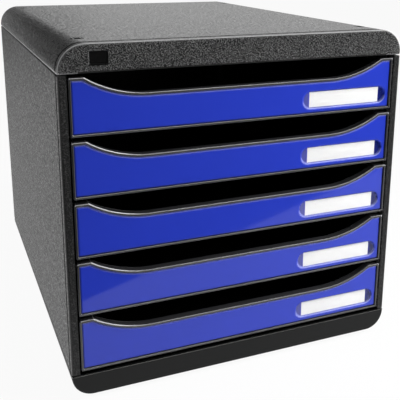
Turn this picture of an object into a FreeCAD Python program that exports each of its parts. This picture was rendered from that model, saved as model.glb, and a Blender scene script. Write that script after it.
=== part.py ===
import FreeCAD, Part
import math
import os

import Sketcher
from FreeCAD import Placement, Rotation, Vector

# Desktop drawer unit: a housing of five moulded pieces on rubber feet, and a stack of sliding drawers.
# All lengths are in millimetres. X runs across the unit, Y from the front to the back, Z up.
# The origin is at the middle of the unit, on the desk.

DIMENSIONS = [
    ("drawer_count", 5, "number of drawers"),
    ("housing_width", 278.0, "width over the side panels"),
    ("housing_depth", 347.0, "depth from the front band to the rear lips"),
    ("shell_wall", 2.4, "wall of the cover, the base and the side panels"),
    ("foot_rise", 4.0, "height of the feet below the base"),
    ("foot_radius", 4.6, "radius of a foot where it stands"),
    ("foot_sink", 0.8, "depth of the recess that holds a foot"),
    ("foot_fit", 0.1, "clearance round a foot in its recess"),
    ("foot_inset_side", 20.5, "from the side of the housing to a foot's centre"),
    ("foot_inset_end", 30.0, "from the front or back of the housing to a foot's centre"),
    ("base_rise", 17.5, "height of the base"),
    ("base_round", 16.5, "radius along the lower side edges of the base"),
    ("cover_rise", 20.2, "height of the cover"),
    ("cover_round", 19.2, "radius along the upper side edges of the cover"),
    ("lip_round", 1.4, "rounding of the front edges of cover and base"),
    ("rear_bevel", 1.0, "bevel along the rear edges of cover and base"),
    ("parting_gap", 1.3, "shadow gap between a side panel and its cover or base"),
    ("band_depth", 7.0, "from the front to the groove round the housing"),
    ("groove_width", 1.6, "width of the groove"),
    ("groove_depth", 1.0, "depth of the groove"),
    ("stile_width", 6.0, "width of the stile at the front of a side panel"),
    ("stile_depth", 10.0, "depth of the stile"),
    ("stile_round", 2.0, "rounding of the stile's outer edge"),
    ("rear_lip", 8.0, "reach of the side panel's lip behind the back panel"),
    ("back_wall", 2.0, "thickness of the back panel"),
    ("back_rib_reach", 4.0, "reach of the rib in front of the back panel"),
    ("back_rib_wall", 1.6, "thickness of that rib"),
    ("back_fit", 0.2, "clearance of the back panel in its channel"),
    ("back_side_gap", 0.5, "between the back panel's edges and the side panels"),
    ("back_overlap", 3.0, "how far the back panel reaches into cover and base"),
    ("tongue_wall", 1.8, "thickness of the side panel's tongues"),
    ("tongue_reach", 3.0, "how far a tongue reaches into cover or base"),
    ("tongue_fit", 0.5, "clearance between a tongue and the wall outside it"),
    ("tongue_root", 5.0, "height of the thickened root of a tongue"),
    ("latch_inset_side", 20.5, "from the side of the housing to a latch post"),
    ("cover_latch_inset", 30.0, "from the front or back to an upper latch post"),
    ("base_latch_inset", 62.0, "from the front or back to a lower latch post"),
    ("latch_tab_width", 16.0, "width of the tab under a latch post"),
    ("latch_tab_wall", 2.2, "thickness of the tab"),
    ("latch_tab_margin", 6.0, "from the post's centre to the end of the tab"),
    ("latch_post_across", 4.2, "width of a latch post"),
    ("latch_post_along", 2.6, "thickness of a latch post"),
    ("latch_fit", 0.4, "clearance round a latch post"),
    ("latch_boss_wall", 1.8, "wall of the boss round a latch post"),
    ("latch_sink", 0.5, "how far a post ends below the outer face"),
    ("recess_width", 12.8, "width of the bare recess in the fascia"),
    ("recess_height", 8.2, "height of the bare recess"),
    ("recess_depth", 0.7, "depth of the bare recess"),
    ("recess_offset", 110.3, "from the middle of the unit to the recess, on the left"),
    ("bottom_gap", 3.5, "from the top of the base to the lowest front"),
    ("front_gap", 3.6, "between one front and the next"),
    ("top_gap", 2.9, "from the highest front to the cover"),
    ("front_height", 41.7, "height of a drawer front"),
    ("front_side_gap", 1.2, "between a front and the stile beside it"),
    ("front_corner", 1.2, "rounding of the front's outer corners"),
    ("front_depth", 7.0, "depth of the front's frame"),
    ("rim_width", 1.7, "width of the rim round the insert"),
    ("rim_bevel", 0.5, "bevel along the rim's outer edge"),
    ("rim_depth", 0.9, "how far the insert lies behind the rim"),
    ("insert_wall", 2.0, "thickness of the coloured insert"),
    ("insert_fit", 0.15, "clearance round the insert"),
    ("insert_bevel", 0.6, "bevel along the insert's edge"),
    ("front_wall", 2.3, "thickness of the wall behind the insert"),
    ("lip_wall", 2.0, "thickness of the lip over the front wall"),
    ("scoop_margin", 10.8, "from the front's side to the scoop's corner"),
    ("scoop_ramp", 46.0, "length of the scoop's curved end"),
    ("scoop_depth", 13.4, "depth of the finger scoop"),
    ("label_margin", 5.6, "from the front's side to the label hole"),
    ("label_level", 12.3, "from the front's lower edge to the centre of the label hole"),
    ("label_hole_length", 76.0, "length of the label hole"),
    ("label_hole_height", 13.4, "height of the label hole"),
    ("hole_bevel", 0.4, "bevel round the label hole"),
    ("window_sink", 0.6, "how far the window lies behind the insert's face"),
    ("window_wall", 0.6, "thickness of the window"),
    ("window_fit", 0.1, "clearance round the window"),
    ("label_length", 64.0, "length of the paper label"),
    ("label_height", 12.2, "height of the paper label"),
    ("label_wall", 0.25, "thickness of the paper label"),
    ("label_play", 0.1, "room between the label and the window"),
    ("label_fit", 0.2, "clearance round the paper label"),
    ("tray_wall", 1.9, "thickness of the tray's walls"),
    ("tray_floor", 2.0, "thickness of the tray's floor"),
    ("tray_lift", 1.2, "from the front's lower edge to the tray's underside"),
    ("tray_top", 37.0, "from the front's lower edge to the tray's upper rim"),
    ("tray_corner", 8.0, "outer radius of the tray's rear corners"),
    ("floor_bevel", 2.6, "bevel between the tray's floor and its walls"),
    ("tray_side_gap", 1.0, "between the tray's side and the ends of the runners"),
    ("tray_rear_gap", 0.6, "between the tray and the back panel when closed"),
    ("flange_reach", 3.8, "how far the tray's flange overhangs its side"),
    ("flange_wall", 2.0, "thickness of the flange"),
    ("flange_rear_gap", 10.0, "from the end of the flange to the tray's rear"),
    ("runner_reach", 8.0, "reach of a runner from the side panel"),
    ("runner_wall", 2.0, "thickness of a runner"),
    ("guide_reach", 6.0, "reach of the guide above the flange"),
    ("guide_wall", 1.6, "thickness of a guide"),
    ("runner_rear_gap", 3.0, "from the end of a runner to the rib of the back channel"),
    ("slide_gap", 0.3, "between a flange and the runner below it"),
    ("guide_gap", 0.5, "between a flange and the guide above it"),
    ("ear_reach", 3.2, "how far a stop ear stands out from its flange"),
    ("ear_length", 6.0, "length of a stop ear"),
    ("lug_gap", 1.0, "between a flange and a stop lug beside it"),
    ("lug_length", 4.0, "length of a stop lug"),
    ("drawer_travel", 250.0, "how far a drawer slides out before its ears meet the lugs"),
    ("stop_gap", 0.3, "between an ear and its lug at the end of the travel"),
]


class Size:
    """A length, kept as a number and as the formula that binds it to the spreadsheet."""

    def __init__(self, number, formula):
        self.number = float(number)
        self.formula = formula

    def __add__(self, other):
        other = as_size(other)
        return Size(self.number + other.number, f"({self.formula} + {other.formula})")

    def __sub__(self, other):
        other = as_size(other)
        return Size(self.number - other.number, f"({self.formula} - {other.formula})")

    def __mul__(self, other):
        other = as_size(other)
        return Size(self.number * other.number, f"({self.formula} * {other.formula})")

    def __truediv__(self, other):
        other = as_size(other)
        return Size(self.number / other.number, f"({self.formula} / {other.formula})")

    def __neg__(self):
        return Size(-self.number, f"(-1 * {self.formula})")

    def root(self):
        return Size(math.sqrt(self.number), f"sqrt({self.formula})")


def as_size(value):
    return value if isinstance(value, Size) else Size(value, f"{float(value):g}")


ZERO = Size(0, "0")

doc = FreeCAD.newDocument("DrawerUnit")
sheet = doc.addObject("Spreadsheet::Sheet", "Sizes")
names = {}
for row, (alias, number, meaning) in enumerate(DIMENSIONS, start=1):
    sheet.set(f"A{row}", meaning)
    sheet.set(f"B{row}", f"{number:g}")
    sheet.setAlias(f"B{row}", alias)
    names[alias] = Size(number, f"Sizes.{alias}")
doc.recompute()


def size(alias):
    return names[alias]


drawer_count = int(size("drawer_count").number)


# Levels and outlines that several pieces share

half_width = size("housing_width") / 2
half_depth = size("housing_depth") / 2
pitch = size("front_height") + size("front_gap")
base_top = size("foot_rise") + size("base_rise")
lowest_front = base_top + size("bottom_gap")
cover_bottom = lowest_front + pitch * size("drawer_count") - size("front_gap") + size("top_gap")
side_rise = cover_bottom - base_top

front_half = half_width - size("stile_width") - size("front_side_gap")
scoop_half = front_half - size("scoop_margin")
label_centre = front_half - size("label_margin") - size("label_hole_length") / 2
panel_inside = half_width - size("shell_wall")
runner_inside = panel_inside - size("runner_reach")
tray_half = runner_inside - size("tray_side_gap")
flange_half = tray_half + size("flange_reach")
flange_under = size("tray_top") - size("flange_wall")

back_rear = size("housing_depth") - size("shell_wall")
back_front = back_rear - size("back_wall")
rib_front = back_front - size("back_fit") - size("back_rib_wall")
tray_rear = back_front - size("tray_rear_gap")
flange_rear = tray_rear - size("flange_rear_gap")
ear_front = flange_rear - size("ear_length")
lug_rear = ear_front - size("drawer_travel") - size("stop_gap")

insert_back = size("rim_depth") + size("insert_wall")
window_seat = size("window_sink") + size("window_wall")
label_seat = window_seat + size("label_play") + size("label_wall")
wall_back = insert_back + size("front_wall")

latch_x = half_width - size("latch_inset_side")


# Document helpers

def bind(feature, path, value):
    """Sets a property and binds it to the value's formula."""
    feature.setExpression(path, as_size(value).formula)


def new_body(label, across=ZERO, along=ZERO, up=ZERO):
    body = doc.addObject("PartDesign::Body", label)
    body.Label = label
    body.Placement = Placement(Vector(across.number, along.number, up.number), Rotation())
    bind(body, "Placement.Base.x", across)
    bind(body, "Placement.Base.y", along)
    bind(body, "Placement.Base.z", up)
    return body


def new_sketch(body, name, plane, level=ZERO):
    """A sketch on XY, XZ or YZ at a level along the axis that is left over."""
    sketch = body.newObject("Sketcher::SketchObject", name)
    for feature in body.Origin.OriginFeatures:
        if feature.Role == f"{plane}_Plane":
            sketch.AttachmentSupport = (feature, [""])
    sketch.MapMode = "FlatFace"
    offset = -level if plane == "XZ" else level
    sketch.AttachmentOffset = Placement(Vector(0, 0, offset.number), Rotation())
    bind(sketch, "AttachmentOffset.Base.z", offset)
    return sketch


def outline(sketch, corners):
    """A closed outline whose corners are held by formulas.

    A corner is (across, up), or (across, up, centre across, centre up, turn) where an arc leads to it:
    the arc turns counter-clockwise about its centre for turn 1, and clockwise for turn -1.
    """
    edges = []
    for index, corner in enumerate(corners):
        end = corners[(index + 1) % len(corners)]
        start_point = Vector(corner[0].number, corner[1].number, 0)
        end_point = Vector(end[0].number, end[1].number, 0)
        if len(end) == 2:
            edge = sketch.addGeometry(Part.LineSegment(start_point, end_point), False)
            edges.append((edge, 1, 2, None))
            continue
        centre = Vector(end[2].number, end[3].number, 0)
        circle = Part.Circle(centre, Vector(0, 0, 1), (start_point - centre).Length)
        first, last = (start_point, end_point) if end[4] > 0 else (end_point, start_point)
        from_angle = math.atan2(first.y - centre.y, first.x - centre.x)
        to_angle = math.atan2(last.y - centre.y, last.x - centre.x)
        edge = sketch.addGeometry(Part.ArcOfCircle(circle, from_angle, to_angle), False)
        edges.append((edge, 1, 2, end[2]) if end[4] > 0 else (edge, 2, 1, end[2]))
    for index, (edge, start, end, centre_across) in enumerate(edges):
        following = edges[(index + 1) % len(edges)]
        sketch.addConstraint(Sketcher.Constraint("Coincident", edge, end, following[0], following[1]))
        hold(sketch, "DistanceX", edge, start, corners[index][0])
        hold(sketch, "DistanceY", edge, start, corners[index][1])
        if centre_across is not None:
            hold(sketch, "DistanceX", edge, 3, centre_across)


def hold(sketch, kind, edge, point, value):
    constraint = sketch.addConstraint(Sketcher.Constraint(kind, -1, 1, edge, point, value.number))
    bind(sketch, f"Constraints[{constraint}]", value)


def rectangle(sketch, left, right, low, high):
    outline(sketch, [(left, low), (right, low), (right, high), (left, high)])


def circle(sketch, across, up, radius):
    edge = sketch.addGeometry(
        Part.Circle(Vector(across.number, up.number, 0), Vector(0, 0, 1), radius.number), False)
    hold(sketch, "DistanceX", edge, 3, across)
    hold(sketch, "DistanceY", edge, 3, up)
    constraint = sketch.addConstraint(Sketcher.Constraint("Radius", edge, radius.number))
    bind(sketch, f"Constraints[{constraint}]", radius)


def window_outline(sketch, fit):
    """The window's outline with its half-round ends, or that of its seat where the fit is nought."""
    reach = size("label_hole_length") / 2 - size("label_hole_height") / 2
    radius = size("label_hole_height") / 2 - fit
    left, right = label_centre - reach, label_centre + reach
    level = size("label_level")
    outline(sketch, [
        (left, level - radius, left, level, 1),
        (right, level - radius),
        (right, level + radius, right, level, 1),
        (left, level + radius),
    ])


def pad(body, name, sketch, length, backwards=False):
    """Grows the sketch along its axis, or against it for a sketch on XZ that grows to the back."""
    feature = body.newObject("PartDesign::Pad", name)
    feature.Profile = sketch
    feature.Reversed = backwards
    bind(feature, "Length", length)
    return feature


def pocket(body, name, sketch, length, backwards=False):
    """Cuts against the sketch's axis, or along it where backwards is set; the cut has to remove something."""
    doc.recompute()
    before = body.Shape.Volume
    feature = body.newObject("PartDesign::Pocket", name)
    feature.Profile = sketch
    feature.Reversed = backwards
    bind(feature, "Length", length)
    doc.recompute()
    if not body.Shape.Volume < before:
        raise RuntimeError(f"{body.Label}.{name} removes nothing")
    return feature


def fillet(body, name, radius, chosen):
    """Rounds the edges that the test chooses."""
    bind(edge_feature(body, "Fillet", name, chosen), "Radius", radius)


def bevel(body, name, width, chosen):
    """Bevels the edges that the test chooses."""
    bind(edge_feature(body, "Chamfer", name, chosen), "Size", width)


def edge_feature(body, kind, name, chosen):
    doc.recompute()
    base = body.Tip
    edges = [f"Edge{index}" for index, edge in enumerate(base.Shape.Edges, start=1) if chosen(edge.BoundBox)]
    if not edges:
        raise RuntimeError(f"{body.Label}.{name} finds no edge")
    feature = body.newObject(f"PartDesign::{kind}", name)
    feature.Base = (base, edges)
    return feature


def near(first, second):
    return abs(first - as_size(second).number) < 0.01


def flat_along(box, level):
    """Whether an edge lies in the plane Y = level."""
    return near(box.YMin, level) and near(box.YMax, level)


# Housing

def cover_section(inset, opening=ZERO):
    """The cover's cross-section inset by a wall, which reaches past the parting plane by the opening."""
    side = half_width - inset
    bend = size("cover_round") - inset
    rise = size("cover_rise")
    spring = rise - size("cover_round")
    return [
        (-side, -opening),
        (side, -opening),
        (side, spring),
        (side - bend, rise - inset, side - bend, spring, 1),
        (bend - side, rise - inset),
        (-side, spring, bend - side, spring, 1),
    ]


def base_section(inset, opening=ZERO):
    """The base's cross-section, open upwards."""
    side = half_width - inset
    bend = size("base_round") - inset
    spring = size("base_round")
    top = size("base_rise") + opening
    return [
        (bend - side, inset, bend - side, spring, 1),
        (side - bend, inset),
        (side, spring, side - bend, spring, 1),
        (side, top),
        (-side, top),
        (-side, spring),
    ]


def housing_shell(label, level, section, parting):
    """The cover or the base: a shell open towards the drawers, with a groove behind its front band."""
    body = new_body(label, up=level)
    block = new_sketch(body, f"{label}_section", "XZ", -half_depth)
    outline(block, section(ZERO))
    pad(body, f"{label}_block", block, size("housing_depth"), backwards=True)

    def at_parting(box):
        return near(box.ZMin, parting) and near(box.ZMax, parting)

    fillet(body, f"{label}_lip_rounding", size("lip_round"),
           lambda box: flat_along(box, -half_depth) and not at_parting(box))
    bevel(body, f"{label}_rear_bevel", size("rear_bevel"),
          lambda box: flat_along(box, half_depth) and not at_parting(box))

    hollow = new_sketch(body, f"{label}_hollow_section", "XZ", size("shell_wall") - half_depth)
    outline(hollow, section(size("shell_wall"), size("shell_wall")))
    pocket(body, f"{label}_hollow", hollow, size("housing_depth") - size("shell_wall") * 2)

    ring = new_sketch(body, f"{label}_groove_section", "XZ", size("band_depth") - half_depth)
    outline(ring, section(-size("groove_depth"), size("groove_depth") * 2))
    outline(ring, section(size("groove_depth"), size("groove_depth")))
    pocket(body, f"{label}_groove", ring, size("groove_width"))
    return body


def mirrored_places(across, along):
    """Four places, one near each corner of the housing, with the left-hand one first in each pair."""
    return [(across * side, along * end) for end in (-1, 1) for side in (-1, 1)]


def post_blocks(sketch, places, margin=ZERO):
    """The section of a latch post at each place, grown by a margin."""
    half_across = size("latch_post_across") / 2 + margin
    half_along = size("latch_post_along") / 2 + margin
    for across, along in places:
        rectangle(sketch, across - half_across, across + half_across, along - half_along, along + half_along)


def latch_bosses(body, places, low, high, rise):
    """Bosses that meet the side panels' tabs, each with a slot for a latch post right through the shell."""
    label = body.Label
    bosses = new_sketch(body, f"{label}_boss_section", "XY", low)
    post_blocks(bosses, places, size("latch_fit") + size("latch_boss_wall"))
    pad(body, f"{label}_bosses", bosses, high - low)
    slots = new_sketch(body, f"{label}_slot_section", "XY", rise)
    post_blocks(slots, places, size("latch_fit"))
    pocket(body, f"{label}_slots", slots, rise)


def top_cover():
    rise = size("cover_rise")
    body = housing_shell("top_cover", cover_bottom, cover_section, ZERO)
    latch_bosses(body, cover_latches, size("tongue_reach"), rise - size("shell_wall") / 2, rise)
    recess = new_sketch(body, "top_cover_recess_section", "XZ", -half_depth)
    middle = rise / 2
    rectangle(recess, -size("recess_offset") - size("recess_width") / 2,
              size("recess_width") / 2 - size("recess_offset"),
              middle - size("recess_height") / 2, middle + size("recess_height") / 2)
    pocket(body, "top_cover_recess", recess, size("recess_depth"))
    return body


def base():
    rise = size("base_rise")
    body = housing_shell("base", size("foot_rise"), base_section, rise)
    latch_bosses(body, base_latches, size("shell_wall") / 2, rise - size("tongue_reach"), rise)
    recesses = new_sketch(body, "base_foot_recess_section", "XY")
    for across, along in foot_places:
        circle(recesses, across, along, size("foot_radius") + size("foot_fit"))
    pocket(body, "base_foot_recesses", recesses, size("foot_sink"), backwards=True)
    return body


def foot(label, place):
    """A round rubber foot, set in its recess in the base."""
    body = new_body(label, *place)
    disc = new_sketch(body, f"{label}_section", "XY")
    circle(disc, ZERO, ZERO, size("foot_radius"))
    pad(body, f"{label}_block", disc, size("foot_rise") + size("foot_sink"))
    return body


def tongue_section(tongue_end, root_end, parting):
    """An L: the tongue inside the cover or the base, and the root that joins it to the skin."""
    buried = panel_face - size("shell_wall") / 2
    return [
        (tongue_out, tongue_end), (tongue_in, tongue_end), (tongue_in, root_end),
        (buried, root_end), (buried, parting), (tongue_out, parting),
    ]


def side_panel(label):
    """The left side panel: skin, stile, rear channel, tongues, latch posts, runners, guides and stop lugs."""
    body = new_body(label, up=base_top)
    outside, front, rear = -half_width, -half_depth, half_depth
    skin_low, skin_high = size("parting_gap"), side_rise - size("parting_gap")

    section = new_sketch(body, f"{label}_section", "XY", skin_low)
    stile_face, stile_rear = outside + size("stile_width"), front + size("stile_depth")
    lip_face, lip_front = panel_face + size("rear_lip"), rear - size("shell_wall")
    outline(section, [
        (outside, front), (stile_face, front), (stile_face, stile_rear), (panel_face, stile_rear),
        (panel_face, lip_front), (lip_face, lip_front), (lip_face, rear), (outside, rear),
    ])
    pad(body, f"{label}_skin", section, skin_high - skin_low)

    def stile_edge(box):
        return near(box.XMin, outside) and near(box.XMax, outside) and flat_along(box, front)

    fillet(body, f"{label}_stile_rounding", size("stile_round"), stile_edge)

    groove = new_sketch(body, f"{label}_groove_section", "XY", side_rise)
    groove_front = front + size("band_depth")
    rectangle(groove, outside - size("groove_depth"), outside + size("groove_depth"),
              groove_front, groove_front + size("groove_width"))
    pocket(body, f"{label}_groove", groove, side_rise)

    channel = new_sketch(body, f"{label}_channel_section", "XY", skin_low)
    rectangle(channel, panel_face - size("shell_wall") / 2, panel_face + size("back_rib_reach"),
              front + rib_front, front + rib_front + size("back_rib_wall"))
    pad(body, f"{label}_channel", channel, skin_high - skin_low)

    tongue_front = size("shell_wall") + size("tongue_fit")
    low, high = -size("tongue_reach"), side_rise + size("tongue_reach")
    tongues = new_sketch(body, f"{label}_tongue_section", "XZ", front + tongue_front)
    outline(tongues, tongue_section(low, skin_low + size("tongue_root"), skin_low))
    outline(tongues, tongue_section(high, skin_high - size("tongue_root"), skin_high))
    pad(body, f"{label}_tongues", tongues, rib_front - tongue_front, backwards=True)

    tab_wall = size("latch_tab_wall")
    latch_tabs(body, f"{label}_upper", cover_latches, high - tab_wall)
    post_rise = size("cover_rise") - size("tongue_reach") - size("latch_sink")
    latch_posts(body, f"{label}_upper", cover_latches, high - tab_wall / 2, post_rise + tab_wall / 2, False)
    latch_tabs(body, f"{label}_lower", base_latches, low)
    post_drop = size("base_rise") - size("tongue_reach") - size("latch_sink")
    latch_posts(body, f"{label}_lower", base_latches, low + tab_wall / 2, post_drop + tab_wall / 2, True)
    runners(body, label)
    return body


def latch_tabs(body, label, places, level):
    """The tabs that carry the cover's bosses or stand on those of the base."""
    tabs = new_sketch(body, f"{label}_tab_section", "XY", level)
    reach = size("latch_tab_width") / 2
    for across, along in places[::2]:
        rectangle(tabs, tongue_out, across + size("latch_tab_margin"), along - reach, along + reach)
    pad(body, f"{label}_tabs", tabs, size("latch_tab_wall"))


def latch_posts(body, label, places, level, length, downwards):
    """The posts on the left-hand tabs, which end just below the outer face of the cover or the base."""
    posts = new_sketch(body, f"{label}_post_section", "XY", level)
    post_blocks(posts, places[::2])
    pad(body, f"{label}_posts", posts, length, downwards)


def runners(body, label):
    """One runner, guide and stop lug for the lowest drawer, repeated upwards for the others."""
    front = -half_depth
    runner_top = size("bottom_gap") + flange_under - size("slide_gap")
    guide_low = size("bottom_gap") + size("tray_top") + size("guide_gap")
    root = panel_face - size("shell_wall") / 2
    rails = new_sketch(body, f"{label}_rail_section", "XZ", front + size("stile_depth"))
    rectangle(rails, root, panel_face + size("runner_reach"), runner_top - size("runner_wall"), runner_top)
    rectangle(rails, root, panel_face + size("guide_reach"), guide_low, guide_low + size("guide_wall"))
    rail_length = rib_front - size("runner_rear_gap") - size("stile_depth")
    rail = pad(body, f"{label}_rails", rails, rail_length, backwards=True)
    lugs = new_sketch(body, f"{label}_lug_section", "XZ", front + lug_rear - size("lug_length"))
    rectangle(lugs, root, -flange_half - size("lug_gap"), runner_top - size("runner_wall") / 2,
              guide_low + size("guide_wall") / 2)
    lug = pad(body, f"{label}_lug", lugs, size("lug_length"), backwards=True)
    doc.recompute()
    levels = body.newObject("PartDesign::LinearPattern", f"{label}_levels")
    levels.Originals = [rail, lug]
    for axis in body.Origin.OriginFeatures:
        if axis.Role == "Z_Axis":
            levels.Direction = (axis, [""])
    bind(levels, "Length", pitch * (size("drawer_count") - 1))
    bind(levels, "Occurrences", size("drawer_count"))
    body.Tip = levels


def back_panel():
    body = new_body("back_panel", along=back_front - half_depth, up=base_top - size("back_overlap"))
    face = new_sketch(body, "back_panel_face", "XZ")
    half = panel_inside - size("back_side_gap")
    rectangle(face, -half, half, ZERO, side_rise + size("back_overlap") * 2)
    pad(body, "back_panel_plate", face, size("back_wall"), backwards=True)
    return body


# Drawers: each lies in its own frame, with the origin at the middle of the front's lower edge

def scooped(half, low, inset):
    """The front's outline with the finger scoop in its upper edge, the upper edge inset by a wall."""
    run = size("scoop_ramp")
    radius = (run * run + size("scoop_depth") * size("scoop_depth")) / (size("scoop_depth") * 2)
    bottom = size("front_height") - size("scoop_depth")
    centre = bottom + radius
    top = size("front_height") - inset
    reach = radius + inset
    drop = centre - top
    flat = scoop_half - run
    corner = flat + (reach * reach - drop * drop).root()
    return [
        (-half, low), (half, low), (half, top), (corner, top),
        (flat, bottom - inset, flat, centre, -1),
        (-flat, bottom - inset),
        (-corner, top, -flat, centre, -1),
        (-half, top),
    ]


def tray(label, level):
    body = new_body(label, along=-half_depth, up=level)
    front_section = new_sketch(body, f"{label}_front_section", "XZ")
    outline(front_section, scooped(front_half, ZERO, ZERO))
    pad(body, f"{label}_front", front_section, size("front_depth"), backwards=True)

    def outer_corner(box):
        across = near(abs(box.XMin), front_half) and near(box.XMin, box.XMax)
        return across and near(box.ZMin, box.ZMax) and not near(box.YMin, box.YMax)

    fillet(body, f"{label}_corner_rounding", size("front_corner"), outer_corner)
    bevel(body, f"{label}_rim_bevel", size("rim_bevel"), lambda box: flat_along(box, 0))

    floor = size("tray_lift")
    shell = new_sketch(body, f"{label}_shell_section", "XY", floor)
    outline(shell, tray_plan(ZERO, size("front_depth")))
    pad(body, f"{label}_shell", shell, size("tray_top") - floor)

    flanges = new_sketch(body, f"{label}_flange_section", "XZ", wall_back)
    ears = new_sketch(body, f"{label}_ear_section", "XZ", ear_front)
    for side in (-1, 1):
        inner = (tray_half - size("tray_wall") / 2) * side
        outer = flange_half * side
        rectangle(flanges, inner, outer, flange_under, size("tray_top"))
        rectangle(ears, inner, outer + size("ear_reach") * side, flange_under, size("tray_top"))
    pad(body, f"{label}_flanges", flanges, flange_rear - wall_back, backwards=True)
    pad(body, f"{label}_ears", ears, size("ear_length"), backwards=True)

    inner_floor = floor + size("tray_floor")
    room = new_sketch(body, f"{label}_room_section", "XY", size("front_height"))
    outline(room, tray_plan(size("tray_wall"), size("front_depth")))
    pocket(body, f"{label}_room", room, size("front_height") - inner_floor)
    throat = new_sketch(body, f"{label}_throat_section", "XZ", wall_back)
    outline(throat, scooped(tray_half - size("tray_wall"), inner_floor, size("lip_wall")))
    pocket(body, f"{label}_throat", throat, size("front_depth") - wall_back)

    def floor_edge(box):
        return near(box.ZMin, inner_floor) and near(box.ZMax, inner_floor)

    bevel(body, f"{label}_floor_bevel", size("floor_bevel"), floor_edge)

    seat = new_sketch(body, f"{label}_insert_seat_section", "XZ")
    outline(seat, scooped(front_half - size("rim_width"), size("rim_width"), size("rim_width")))
    pocket(body, f"{label}_insert_seat", seat, insert_back)
    return body


def tray_plan(inset, front):
    """The tray's plan, with its rear corners rounded."""
    side = tray_half - inset
    rear = tray_rear - inset
    bend = size("tray_corner") - inset
    return [
        (-side, front), (side, front), (side, rear - bend),
        (side - bend, rear, side - bend, rear - bend, 1),
        (bend - side, rear),
        (-side, rear - bend, bend - side, rear - bend, 1),
    ]


def front_insert(label, level):
    """The coloured panel inside the rim, with a bevelled edge and the seats of window and label."""
    body = new_body(label, along=size("rim_depth") - half_depth, up=level)
    face = new_sketch(body, f"{label}_face", "XZ")
    inset = size("rim_width") + size("insert_fit")
    outline(face, scooped(front_half - inset, inset, inset))
    pad(body, f"{label}_plate", face, size("insert_wall"), backwards=True)
    bevel(body, f"{label}_edge_bevel", size("insert_bevel"), lambda box: flat_along(box, 0))
    window = new_sketch(body, f"{label}_window_seat_section", "XZ")
    window_outline(window, ZERO)
    pocket(body, f"{label}_window_seat", window, window_seat)
    half_hole = size("label_hole_length") / 2

    def hole_edge(box):
        inside = box.XMin > (label_centre - half_hole).number - 0.01
        return inside and box.XMax < (label_centre + half_hole).number + 0.01 and flat_along(box, 0)

    bevel(body, f"{label}_hole_bevel", size("hole_bevel"), hole_edge)

    slip = new_sketch(body, f"{label}_label_seat_section", "XZ", window_seat)
    half_length = size("label_length") / 2 + size("label_fit")
    half_height = size("label_height") / 2 + size("label_fit")
    centre_level = size("label_level")
    rectangle(slip, label_centre - half_length, label_centre + half_length,
              centre_level - half_height, centre_level + half_height)
    pocket(body, f"{label}_label_seat", slip, label_seat - window_seat)
    return body


def label_window(label, level):
    """The clear window, nearly flush with the insert's face."""
    body = new_body(label, along=size("rim_depth") + size("window_sink") - half_depth, up=level)
    face = new_sketch(body, f"{label}_face", "XZ")
    window_outline(face, size("window_fit"))
    pad(body, f"{label}_pane", face, size("window_wall"), backwards=True)
    return body


def paper_label(label, level):
    """The paper slip on the floor of its seat, behind the window."""
    slip = doc.addObject("Part::Box", label)
    slip.Label = label
    bind(slip, "Length", size("label_length"))
    bind(slip, "Width", size("label_wall"))
    bind(slip, "Height", size("label_height"))
    bind(slip, "Placement.Base.x", label_centre - size("label_length") / 2)
    bind(slip, "Placement.Base.y", size("rim_depth") + label_seat - size("label_wall") - half_depth)
    bind(slip, "Placement.Base.z", level + size("label_level") - size("label_height") / 2)
    return slip


foot_places = mirrored_places(half_width - size("foot_inset_side"), half_depth - size("foot_inset_end"))
cover_latches = mirrored_places(latch_x, half_depth - size("cover_latch_inset"))
base_latches = mirrored_places(latch_x, half_depth - size("base_latch_inset"))
panel_face = -panel_inside
tongue_out = panel_face + size("tongue_fit")
tongue_in = tongue_out + size("tongue_wall")

pieces = [top_cover(), base(), back_panel()]
corners = ("front_left", "front_right", "back_left", "back_right")
for corner, place in zip(corners, foot_places):
    pieces.append(foot(f"foot_{corner}", place))
left_panel = side_panel("left_side_panel")
right_panel = doc.addObject("Part::Mirroring", "right_side_panel")
right_panel.Label = "right_side_panel"
right_panel.Source = left_panel
right_panel.Normal = Vector(1, 0, 0)
pieces += [left_panel, right_panel]
for number in range(1, drawer_count + 1):
    level = lowest_front + pitch * (size("drawer_count") - number)
    pieces.append(tray(f"tray_{number}", level))
    pieces.append(front_insert(f"front_{number}", level))
    pieces.append(label_window(f"label_window_{number}", level))
    pieces.append(paper_label(f"label_{number}", level))

doc.recompute()
failed = [item.Name for item in doc.Objects if "Invalid" in item.State or "Error" in item.State]
if failed:
    raise RuntimeError(f"these objects failed: {failed}")
for piece in pieces:
    if piece.Shape.isNull() or not piece.Shape.isValid() or not piece.Shape.Solids:
        raise RuntimeError(f"{piece.Label} has no valid solid")

os.makedirs("parts", exist_ok=True)
for piece in pieces:
    piece.Shape.exportStep(f"parts/{piece.Label}.step")
    print(f"{piece.Label}: {len(piece.Shape.Solids)} solid, {piece.Shape.Volume / 1000:.1f} cm3")
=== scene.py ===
import math
import bmesh
import bpy
from mathutils import Matrix, Vector

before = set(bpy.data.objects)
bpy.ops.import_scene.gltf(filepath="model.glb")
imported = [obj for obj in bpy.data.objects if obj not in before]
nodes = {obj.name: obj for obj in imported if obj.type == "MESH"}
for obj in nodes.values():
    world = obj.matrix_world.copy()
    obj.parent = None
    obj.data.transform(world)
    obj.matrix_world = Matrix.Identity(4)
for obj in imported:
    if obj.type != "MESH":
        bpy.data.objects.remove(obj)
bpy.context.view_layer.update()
MM = 0.001
DRAWERS = 5

# colours and nodes


def linear(hex_colour):
    """An sRGB hex value as linear red, green and blue, with full alpha."""
    channels = [int(hex_colour[i:i + 2], 16) / 255.0 for i in (1, 3, 5)]
    straight = [c / 12.92 if c <= 0.04045 else ((c + 0.055) / 1.055) ** 2.4 for c in channels]
    return (*straight, 1.0)


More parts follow.
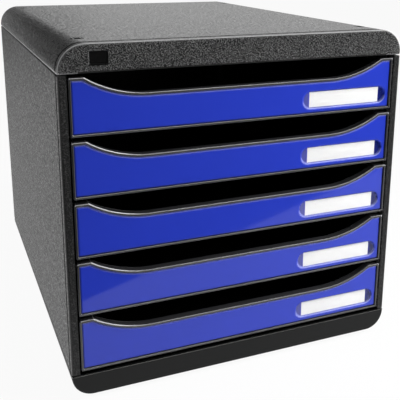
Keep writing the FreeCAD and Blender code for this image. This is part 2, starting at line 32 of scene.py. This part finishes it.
def add(tree, kind, values=None):
    """A node with its values by name or number: a socket is linked, and the rest are inputs or settings."""
    node = tree.nodes.new(kind)
    for name, value in (values or {}).items():
        if isinstance(value, bpy.types.NodeSocket):
            tree.links.new(value, node.inputs[name])
        elif isinstance(name, int) or name in node.inputs:
            node.inputs[name].default_value = value
        else:
            setattr(node, name, value)
    return node


def new_material(name, colour, roughness, ior=1.5):
    material = bpy.data.materials.new(name)
    material.use_nodes = True
    shader = material.node_tree.nodes["Principled BSDF"]
    shader.inputs["Base Color"].default_value = linear(colour)
    shader.inputs["Roughness"].default_value = roughness
    shader.inputs["IOR"].default_value = ior
    return material, material.node_tree, shader


def dress(names, material):
    for name in names:
        slots = nodes[name].material_slots
        if not slots:
            nodes[name].data.materials.append(material)
        for slot in slots:
            slot.material = material


# camera at the photograph's viewing angle

YAW, PITCH, ROLL = -0.3951, -0.2462, 0.0051
CAMERA_PLACE = (-0.21689, -0.63430, 0.33076)
FOCAL_PIXELS, PICTURE_PIXELS, SENSOR_WIDTH = 692.5, 400.0, 36.0

forward = Vector((-math.sin(YAW) * math.cos(PITCH), math.cos(YAW) * math.cos(PITCH), math.sin(PITCH)))
level_right = Vector((math.cos(YAW), math.sin(YAW), 0.0))
level_up = level_right.cross(forward)
right = level_right * math.cos(ROLL) + level_up * math.sin(ROLL)
up = level_up * math.cos(ROLL) - level_right * math.sin(ROLL)
camera_data = bpy.data.cameras.new("camera")
camera_data.sensor_width = SENSOR_WIDTH
camera_data.lens = FOCAL_PIXELS / PICTURE_PIXELS * SENSOR_WIDTH
camera_data.shift_x = -0.0375
camera_data.shift_y = -0.185
camera_data.clip_end = 50.0
camera = bpy.data.objects.new("camera", camera_data)
axes = Matrix((right, up, -forward)).transposed().to_4x4()
camera.matrix_world = Matrix.Translation(CAMERA_PLACE) @ axes
bpy.context.collection.objects.link(camera)
bpy.context.scene.camera = camera
bpy.context.scene.view_settings.view_transform = "Standard"

# floor, flags and backdrop

# metres from the middle to the floor's edges, from the floor to the laid cards and back to the upright one
FLOOR_REACH, CARD_HEIGHT, REAR_CARD_DEPTH = 6.0, 0.001, 0.9
# the part of the floor's tone that is its own, and the backdrop's strength for matt surfaces
FLOOR_GLOW, MATT_FILL = 0.94, 0.1


def flat_piece(name, corners):
    mesh = bmesh.new()
    mesh.faces.new([mesh.verts.new(corner) for corner in corners])
    data = bpy.data.meshes.new(name)
    mesh.to_mesh(data)
    mesh.free()
    piece = bpy.data.objects.new(name, data)
    bpy.context.collection.objects.link(piece)
    return piece


def seen_directly(tree):
    """One where a ray comes from the camera, from a gloss or through glass, and nought elsewhere."""
    path = add(tree, "ShaderNodeLightPath")
    mirrored = add(tree, "ShaderNodeMath", {"operation": "MAXIMUM", 0: path.outputs["Is Camera Ray"],
                                            1: path.outputs["Is Glossy Ray"]})
    return add(tree, "ShaderNodeMath", {"operation": "MAXIMUM", 0: mirrored.outputs[0],
                                        1: path.outputs["Is Transmission Ray"]}).outputs[0]


# matt white paper sweep: where it is seen directly, nearly all of its tone is a glow of its own, so that the shadow
# on it stays faint
floor = flat_piece("floor", [(-FLOOR_REACH, -FLOOR_REACH, 0), (FLOOR_REACH, -FLOOR_REACH, 0),
                             (FLOOR_REACH, FLOOR_REACH, 0), (-FLOOR_REACH, FLOOR_REACH, 0)])
floor_material = bpy.data.materials.new("matt white paper sweep")
floor_material.use_nodes = True
tree = floor_material.node_tree
tree.nodes.clear()
paper = add(tree, "ShaderNodeBsdfDiffuse", {"Color": linear("#F6F6F6")})
glow = add(tree, "ShaderNodeEmission", {"Color": linear("#FFFFFF"), "Strength": 1.0})
share = add(tree, "ShaderNodeMath", {"operation": "MULTIPLY", 0: seen_directly(tree), 1: FLOOR_GLOW})
both = add(tree, "ShaderNodeMixShader", {0: share.outputs[0], 1: paper.outputs[0], 2: glow.outputs[0]})
add(tree, "ShaderNodeOutputMaterial", {"Surface": both.outputs[0]})
floor.data.materials.append(floor_material)

# black felt: it sends nothing back, so a gloss that mirrors it turns dark
flag_material, tree, shader = new_material("black felt flag", "#050505", 1.0)
shader.inputs["Specular IOR Level"].default_value = 0.0


def flag(name, corners):
    """A dark card that only a gloss sees."""
    card = flat_piece(name, corners)
    card.data.materials.append(flag_material)
    card.visible_camera = False
    card.visible_diffuse = False
    card.visible_shadow = False
    card.visible_transmission = False


# laid across the front, where no drawer reaches it, for the dark upper part of the fronts' reflection
front_outline = [(-0.75, -0.016), (-3.2, -1.6), (-1.4, -4.6), (2.6, -4.6), (3.4, -1.98)]
flag("front flag", [(x, y, CARD_HEIGHT) for x, y in front_outline])
# laid at the right, for the dark right stile
right_outline = [(0.2, -0.15), (1.4, -0.15), (1.4, 1.2), (0.2, 1.2)]
flag("right flag", [(x, y, CARD_HEIGHT) for x, y in right_outline])
# upright behind on the left, for the dark band along the cover's edge
rear_outline = [(-1.4, 0.1), (-0.3, 0.1), (-0.23, 0.32), (-0.05, 0.38), (0.1, 0.5), (0.2, 1.2), (-1.4, 1.2)]
flag("left rear flag", [(x, REAR_CARD_DEPTH, z) for x, z in rear_outline])

# white where it is seen directly, and a weak fill for matt surfaces
world = bpy.data.worlds.new("studio")
bpy.context.scene.world = world
world.use_nodes = True
tree = world.node_tree
tree.nodes.clear()
fill = add(tree, "ShaderNodeBackground", {"Color": linear("#FFFFFF"), "Strength": MATT_FILL})
white = add(tree, "ShaderNodeBackground", {"Color": linear("#FFFFFF"), "Strength": 1.0})
mix = add(tree, "ShaderNodeMixShader", {0: seen_directly(tree), 1: fill.outputs[0], 2: white.outputs[0]})
add(tree, "ShaderNodeOutputWorld", {"Surface": mix.outputs[0]})

# lamps


def softbox(name, place, target, width, height, power, matt=True, gloss=True):
    """A rectangular lamp, in metres and watts; matt and gloss say which kind of surface sees it."""
    light = bpy.data.lights.new(name, "AREA")
    light.shape = "RECTANGLE"
    light.size = width
    light.size_y = height
    light.energy = power
    lamp = bpy.data.objects.new(name, light)
    aim = Vector(target) - Vector(place)
    lamp.matrix_world = Matrix.Translation(place) @ aim.to_track_quat("-Z", "Y").to_matrix().to_4x4()
    lamp.visible_diffuse = matt
    lamp.visible_glossy = gloss
    bpy.context.collection.objects.link(lamp)


softbox("overhead softbox", (0.2, -0.35, 1.7), (0.0, 0.0, 0.1), 0.9, 0.9, 2.4)
# its mirror image would stand as a patch on the top, so only matt surfaces see it
softbox("front softbox", (0.72, -0.5, 0.58), (0.0, -0.17, 0.15), 0.5, 0.4, 10.8, gloss=False)
softbox("left softbox", (-2.4, 0.15, 1.0), (0.0, 0.0, 0.1), 1.6, 1.2, 16.5)
# for the light lines along rims and lips
softbox("ceiling strip", (0.0, -0.6, 1.5), (0.0, -0.1, 0.1), 2.4, 0.9, 50.0, matt=False)

# finishes, all drawn in object coordinates

# the Mix node's sockets for a number and for a colour: first, second and result
MIX_SOCKETS = {"FLOAT": (2, 3, 0), "RGBA": (6, 7, 2)}

# the cosine between a face's normal and the softened one, where an edge's painted highlight begins to show and where
# it shows in full
BEND_BEGINS, BEND_FULL = 0.997, 0.85
# the y of normals on chamfers and rounds that face forwards, and how far it may differ
FORWARD_SLANT, SLANT_SPREAD = -0.5, 0.32

# the grain's noise, and the levels between which its crests rise from the ground
GRAIN_NOISE = {"Detail": 2.0, "Roughness": 0.6}
CREST_BEGINS, CREST_FULL = 0.51, 0.58
# the mottle over it: a patch's width in grains, the levels it mostly keeps to, and its share in the relief
MOTTLE_GRAINS, MOTTLE_LOW, MOTTLE_HIGH, MOTTLE_SHARE = 3, 0.35, 0.65, 0.6
# how far the mottle turns the roughness up and down, and the roughness along edges, which leave the mould smoother
ROUGHNESS_SWING, POLISHED_EDGE = 0.1, 0.2

# the faint waves of a smooth mould, and how far an edge turns to its light before its painted highlight shows
WAVE_LENGTH, WAVE_HEIGHT, WAVE_STRENGTH = 30 * MM, 0.3 * MM, 0.05
LIT_BEGINS, LIT_FULL = 0.06, 0.2


def within(tree, place, centre, half, folded=False):
    """One inside a box given in millimetres, and nought outside; folded repeats it left, right, front and back."""
    if folded:
        place = add(tree, "ShaderNodeVectorMath", {"operation": "ABSOLUTE", 0: place}).outputs[0]
    offset = add(tree, "ShaderNodeVectorMath", {"operation": "SUBTRACT", 0: place, 1: [c * MM for c in centre]})
    offset = add(tree, "ShaderNodeVectorMath", {"operation": "ABSOLUTE", 0: offset.outputs[0]})
    beyond = add(tree, "ShaderNodeVectorMath", {"operation": "SUBTRACT", 0: offset.outputs[0],
                                                1: [h * MM for h in half]})
    parts = add(tree, "ShaderNodeSeparateXYZ", {0: beyond.outputs[0]})
    across = add(tree, "ShaderNodeMath", {"operation": "MAXIMUM", 0: parts.outputs[0], 1: parts.outputs[1]})
    farthest = add(tree, "ShaderNodeMath", {"operation": "MAXIMUM", 0: across.outputs[0], 1: parts.outputs[2]})
    return add(tree, "ShaderNodeMath", {"operation": "LESS_THAN", 0: farthest.outputs[0], 1: 0.0}).outputs[0]


def layered(tree, mask, under, over):
    """The looks of a surface by name, with others laid over those of the same name where the mask is one."""
    looks = dict(under)
    for name, look in over.items():
        data_type = "FLOAT" if isinstance(look, float) else "RGBA"
        first, second, result = MIX_SOCKETS[data_type]
        blend = add(tree, "ShaderNodeMix", {"data_type": data_type, 0: mask, first: under[name], second: look})
        looks[name] = blend.outputs[result]
    return looks


def edges(tree, radius, full_bend=BEND_FULL):
    """One along edges within the radius and on chamfers and rounds that face forwards, with the softened normal."""
    softened = add(tree, "ShaderNodeBevel", {"Radius": radius}).outputs[0]
    flat = add(tree, "ShaderNodeNewGeometry").outputs["Normal"]
    match = add(tree, "ShaderNodeVectorMath", {"operation": "DOT_PRODUCT", 0: softened, 1: flat})
    bent = add(tree, "ShaderNodeMapRange", {"From Min": BEND_BEGINS, "From Max": full_bend,
                                            "Value": match.outputs["Value"]})
    parts = add(tree, "ShaderNodeSeparateXYZ", {0: flat})
    slanted = add(tree, "ShaderNodeMath", {"operation": "COMPARE", 0: parts.outputs["Y"], 1: FORWARD_SLANT,
                                           2: SLANT_SPREAD})
    either = add(tree, "ShaderNodeMath", {"operation": "MAXIMUM", 0: bent.outputs[0], 1: slanted.outputs[0]})
    return either.outputs[0], softened


def grained(name, colour, crest_colour, edge_highlight_colour, grain, relief, edge_radius, roughness, ior, patch, zones):
    """Spark-eroded grain: pits of the grain's width, whose pale crests catch the light, with smoother edges painted a
    highlight colour.

    Patch is how much the crests' tone varies from patch to patch.
    A zone is a box that differs: its centre, half its size, whether it is folded, colour, crest colour, roughness.
    """
    material, tree, shader = new_material(name, colour, roughness, ior)
    place = add(tree, "ShaderNodeTexCoord").outputs["Object"]
    pits = add(tree, "ShaderNodeTexNoise", {"Scale": 1.0 / grain, **GRAIN_NOISE, "Vector": place}).outputs["Fac"]
    mottle = add(tree, "ShaderNodeTexNoise", {"Scale": 1.0 / (MOTTLE_GRAINS * grain), **GRAIN_NOISE,
                                              "Vector": place}).outputs["Fac"]
    crests = add(tree, "ShaderNodeMapRange", {"From Min": CREST_BEGINS, "From Max": CREST_FULL, "Value": pits})
    dull = add(tree, "ShaderNodeMapRange", {"From Min": MOTTLE_LOW, "From Max": MOTTLE_HIGH,
                                            "To Min": roughness + ROUGHNESS_SWING,
                                            "To Max": roughness - ROUGHNESS_SWING, "Value": mottle})
    looks = {"colour": linear(colour), "crest": linear(crest_colour), "edge": linear(edge_highlight_colour),
             "roughness": dull.outputs[0], "radius": edge_radius}
    for centre, half, folded, zone_colour, zone_crest, zone_roughness in zones:
        zone_looks = {"colour": linear(zone_colour), "crest": linear(zone_crest), "edge": linear(zone_colour),
                      "roughness": zone_roughness, "radius": 0.0}
        looks = layered(tree, within(tree, place, centre, half, folded), looks, zone_looks)
    looks = layered(tree, crests.outputs[0], looks, {"colour": looks["crest"]})
    level = add(tree, "ShaderNodeMapRange", {"From Min": MOTTLE_LOW, "From Max": MOTTLE_HIGH,
                                             "To Min": 1.0 - patch, "To Max": 1.0 + patch, "Value": mottle})
    tone = add(tree, "ShaderNodeVectorMath", {"operation": "SCALE", 0: looks["colour"],
                                              "Scale": level.outputs[0]})
    looks["colour"] = tone.outputs[0]
    at_edge, softened = edges(tree, looks["radius"])
    # painted highlight: edges take the edge colour, and they are also smoother
    looks = layered(tree, at_edge, looks, {"colour": looks["edge"], "roughness": POLISHED_EDGE})
    height = layered(tree, MOTTLE_SHARE, {"height": pits}, {"height": mottle})["height"]
    bump = add(tree, "ShaderNodeBump", {"Strength": 1.0, "Distance": relief, "Height": height,
                                        "Normal": softened})
    tree.links.new(looks["colour"], shader.inputs["Base Color"])
    tree.links.new(looks["roughness"], shader.inputs["Roughness"])
    tree.links.new(bump.outputs[0], shader.inputs["Normal"])
    return material


def smooth(name, colour, edge_highlight_colour, edge_radius, roughness, ior=1.5, shine=0.5, zones=(), lit=None,
           full_bend=BEND_FULL):
    """Polished or satin moulded plastic, its edges softened and painted a highlight colour, and its faces faintly
    wavy from the mould.

    A zone is a box that differs: its centre, half its size and its colour.
    Lit is a direction and the painted highlight colour of the upper edges that face that way.
    """
    material, tree, shader = new_material(name, colour, roughness, ior)
    shader.inputs["Specular IOR Level"].default_value = shine
    place = add(tree, "ShaderNodeTexCoord").outputs["Object"]
    waves = add(tree, "ShaderNodeTexNoise", {"Scale": 1.0 / WAVE_LENGTH, "Detail": 2.0, "Vector": place})
    looks = {"colour": linear(colour), "edge": linear(edge_highlight_colour)}
    for centre, half, zone_colour in zones:
        inside = within(tree, place, centre, half)
        looks = layered(tree, inside, looks, {"colour": linear(zone_colour)})
    at_edge, softened = edges(tree, edge_radius, full_bend)
    # painted highlight on upper edges that face the lit direction
    if lit:
        direction, lit_colour = lit
        turned = add(tree, "ShaderNodeVectorMath", {"operation": "DOT_PRODUCT", 0: softened, 1: direction})
        upwards = add(tree, "ShaderNodeSeparateXYZ", {0: softened}).outputs["Z"]
        least = add(tree, "ShaderNodeMath", {"operation": "MINIMUM", 0: turned.outputs["Value"], 1: upwards})
        facing = add(tree, "ShaderNodeMapRange", {"From Min": LIT_BEGINS, "From Max": LIT_FULL,
                                                  "Value": least.outputs[0]})
        looks = layered(tree, facing.outputs[0], looks, {"edge": linear(lit_colour)})
    # painted highlight along edges
    looks = layered(tree, at_edge, looks, {"colour": looks["edge"]})
    bump = add(tree, "ShaderNodeBump", {"Strength": WAVE_STRENGTH, "Distance": WAVE_HEIGHT,
                                        "Height": waves.outputs["Fac"], "Normal": softened})
    tree.links.new(looks["colour"], shader.inputs["Base Color"])
    tree.links.new(bump.outputs[0], shader.inputs["Normal"])
    return material


cover_zones = [
    # the bare recess
    ((-110.3, -172.9, 260.7), (6.7, 0.6, 5.0), False, "#050505", "#0C0C0C", 0.35),
    # the groove's shadow
    ((0.0, -165.7, 262.0), (140.0, 1.8, 12.0), False, "#040404", "#080808", 1.0),
    # a painted highlight along the cover's lower edge over the side panel
    ((139.0, 0.0, 251.3), (1.5, 175.0, 0.6), True, "#9A9A9A", "#C0C0C0", 0.3),
    # painted shade in the latch slots, and on both sides of each a moulding pip drawn dark and without sheen, all
    # drawn a little longer than they are so that they show from the front
    ((118.5, 143.5, 268.0), (2.4, 4.5, 4.0), True, "#020202", "#020202", 1.0),
    ((114.6, 143.5, 268.0), (0.6, 3.0, 4.0), True, "#101010", "#101010", 1.0),
    ((122.4, 143.5, 268.0), (0.6, 3.0, 4.0), True, "#101010", "#101010", 1.0),
    # the fascia's lower edge, which lies in shade
    ((0.0, -173.0, 250.4), (125.0, 2.0, 1.5), False, "#141414", "#2A2A2A", 0.5),
]
# polystyrene from a spark-eroded mould: a fine pale speckle on near-black, and an even grey sheen where it is seen at
# a low angle. Such grain is about 0.3 mm wide and is drawn about twice as wide, so that it shows. The IOR lies under
# polystyrene's 1.59, to match how weak the sheen is in the photograph.
# its edges are painted a pale highlight
shell_material = grained(
    "spark-grained grey polystyrene cover", colour="#101010", crest_colour="#7A7A7A", edge_highlight_colour="#A4A4A4",
    grain=0.68 * MM, relief=0.08 * MM, edge_radius=1.4 * MM, roughness=0.3, ior=1.22, patch=0.3, zones=cover_zones)

panel_zones = [
    # the latch posts, which lie in the cover's shadow
    ((118.5, 143.5, 265.0), (4.0, 4.0, 10.0), True, "#050505", "#050505", 1.0),
    # the front faces of the stiles, which are darker
    ((135.0, 173.5, 135.0), (3.6, 0.4, 150.0), True, "#020202", "#383838", 0.5),
    # painted shade in the groove behind them
    ((0.0, -165.7, 135.0), (140.0, 1.8, 125.0), False, "#060606", "#101010", 1.0),
]
# the same plastic with a rougher grain: a stronger speckle in uneven patches, and a weaker sheen
# its edges are painted a faint highlight
panel_material = grained(
    "spark-grained grey polystyrene side", colour="#0E0E0E", crest_colour="#808080", edge_highlight_colour="#303030",
    grain=0.75 * MM, relief=0.15 * MM, edge_radius=1.0 * MM, roughness=0.5, ior=1.36, patch=0.6, zones=panel_zones)

# polystyrene from a finely ground mould: an even dark satin, with its edges painted a little paler as a highlight,
# most of all where an edge faces up
base_material = smooth(
    "satin black polystyrene base", colour="#0B0C0C", edge_highlight_colour="#2A2A2A", edge_radius=0.9 * MM, roughness=0.4,
    shine=0.22, lit=((0.0, 0.0, 1.0), "#6C6C6A"))
# the back in the same satin, its edges painted a little paler as a highlight
back_material = smooth(
    "satin black polystyrene back", colour="#18191B", edge_highlight_colour="#2A2A2C", edge_radius=0.5 * MM, roughness=0.4)

# painted light: the tray's front frame is a little paler than its inside, for the light that falls on its lip
painted_frame_light_zones = [((0.0, -170.3, 135.0), (131.0, 3.4, 140.0), "#343436")]
# polystyrene from a bright mould: deep black with clear reflections, and painted highlight lines along its edges,
# brightest on rims that face up and right
tray_material = smooth(
    "moulded black polystyrene tray", colour="#111213", edge_highlight_colour="#4C4C50", edge_radius=1.2 * MM,
    roughness=0.14, ior=1.59, zones=painted_frame_light_zones, lit=((1.0, 0.0, 0.0), "#CCCCD0"))

# the floor of the label's seat shows beside the paper, with painted light on the left and painted shade on the right
seat_light_and_shade_zones = [
    ((53.2, -171.3, 135.0), (3.3, 0.5, 140.0), "#5A5EAA"),
    ((123.4, -171.3, 135.0), (3.3, 0.5, 140.0), "#1A2268"),
]
# polystyrene from a polished mould: strong blue under a mirror gloss, with a painted pale highlight line where an
# edge faces up
front_material = smooth(
    "polished blue polystyrene front", colour="#2C40C4", edge_highlight_colour="#2C40C4", edge_radius=1.9 * MM,
    roughness=0.06, ior=1.45, zones=seat_light_and_shade_zones, lit=((0.0, 0.0, 1.0), "#949CEC"), full_bend=0.97)

# uncoated paper and moulded rubber: flat tones without sheen
label_material = new_material("white label paper", "#F8F8F6", 0.8)[0]
foot_material = new_material("black rubber foot", "#151515", 0.8)[0]

# clear moulded polystyrene: the label shows sharply under a thin gloss, and the light that shadows and matt surfaces
# ask for passes straight through, so that the paper stays white
window_material, tree, shader = new_material("clear polystyrene window", "#FFFFFF", 0.03)
shader.inputs["Transmission Weight"].default_value = 1.0
path = add(tree, "ShaderNodeLightPath")
passing = add(tree, "ShaderNodeMath", {"operation": "MAXIMUM", 0: path.outputs["Is Shadow Ray"],
                                       1: path.outputs["Is Diffuse Ray"]})
clear = add(tree, "ShaderNodeBsdfTransparent")
either = add(tree, "ShaderNodeMixShader", {0: passing.outputs[0], 1: shader.outputs[0], 2: clear.outputs[0]})
tree.links.new(either.outputs[0], tree.nodes["Material Output"].inputs["Surface"])

dress(["top_cover"], shell_material)
dress(["left_side_panel", "right_side_panel"], panel_material)
dress(["base"], base_material)
dress(["back_panel"], back_material)
for n in range(1, DRAWERS + 1):
    dress([f"tray_{n}"], tray_material)
    dress([f"front_{n}"], front_material)
    dress([f"label_{n}"], label_material)
    dress([f"label_window_{n}"], window_material)
dress(["foot_front_left", "foot_front_right", "foot_back_left", "foot_back_right"], foot_material)
